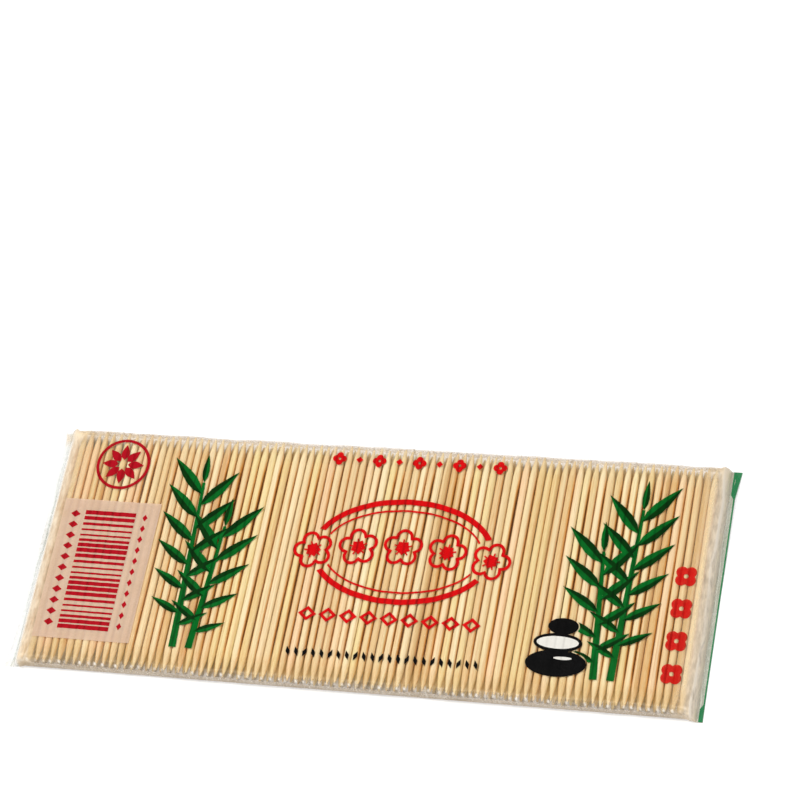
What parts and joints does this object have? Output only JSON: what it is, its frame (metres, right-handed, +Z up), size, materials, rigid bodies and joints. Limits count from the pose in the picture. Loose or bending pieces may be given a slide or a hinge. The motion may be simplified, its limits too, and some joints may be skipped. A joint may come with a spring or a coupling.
{
  "type": "pack of bamboo toothpicks",
  "caption": "Flat sealed pack of double-pointed bamboo toothpicks lying side by side in two layers under clear film with a green, red and black garden print.",
  "frame": {"origin": "middle of the underside that the pack rests on", "axes": "X runs along the pack towards the striped end, Y runs along the toothpicks, Z is up through the printed face"},
  "size_m": [0.1786, 0.0668, 0.0045],
  "materials": {
    "film": "thin clear film, glossy, slightly creased",
    "bamboo": "dry split bamboo, matte, fine lengthwise grain",
    "pale_ink": "thin pale ink on film",
    "red_ink": "thin red ink on film",
    "green_ink": "thin green ink on film",
    "dark_green_ink": "thin dark green ink on film",
    "black_ink": "thin black ink on film",
    "white_ink": "thin white ink on film",
    "stripe_ink": "thin green ink on the folded end of the film"
  },
  "bodies": {
    "root": {"film_bag": "film", "lower_picks_01": "bamboo", "lower_picks_02": "bamboo", "lower_picks_03": "bamboo", "lower_picks_04": "bamboo", "lower_picks_05": "bamboo", "lower_picks_06": "bamboo", "lower_picks_07": "bamboo", "lower_picks_08": "bamboo", "lower_picks_09": "bamboo", "lower_picks_10": "bamboo", "lower_picks_11": "bamboo", "lower_picks_12": "bamboo", "lower_picks_13": "bamboo", "lower_picks_14": "bamboo", "lower_picks_15": "bamboo", "lower_picks_16": "bamboo", "lower_picks_17": "bamboo", "upper_picks_01": "bamboo", "upper_picks_02": "bamboo", "upper_picks_03": "bamboo", "upper_picks_04": "bamboo", "upper_picks_05": "bamboo", "upper_picks_06": "bamboo", "upper_picks_07": "bamboo", "upper_picks_08": "bamboo", "upper_picks_09": "bamboo", "upper_picks_10": "bamboo", "upper_picks_11": "bamboo", "upper_picks_12": "bamboo", "upper_picks_13": "bamboo", "upper_picks_14": "bamboo", "upper_picks_15": "bamboo", "upper_picks_16": "bamboo", "upper_picks_17": "bamboo", "pale_panel": "pale_ink", "red_print": "red_ink", "green_print": "green_ink", "dark_green_print": "dark_green_ink", "black_print": "black_ink", "white_print": "white_ink", "green_end_stripe": "stripe_ink"}
  },
  "joints": []
}
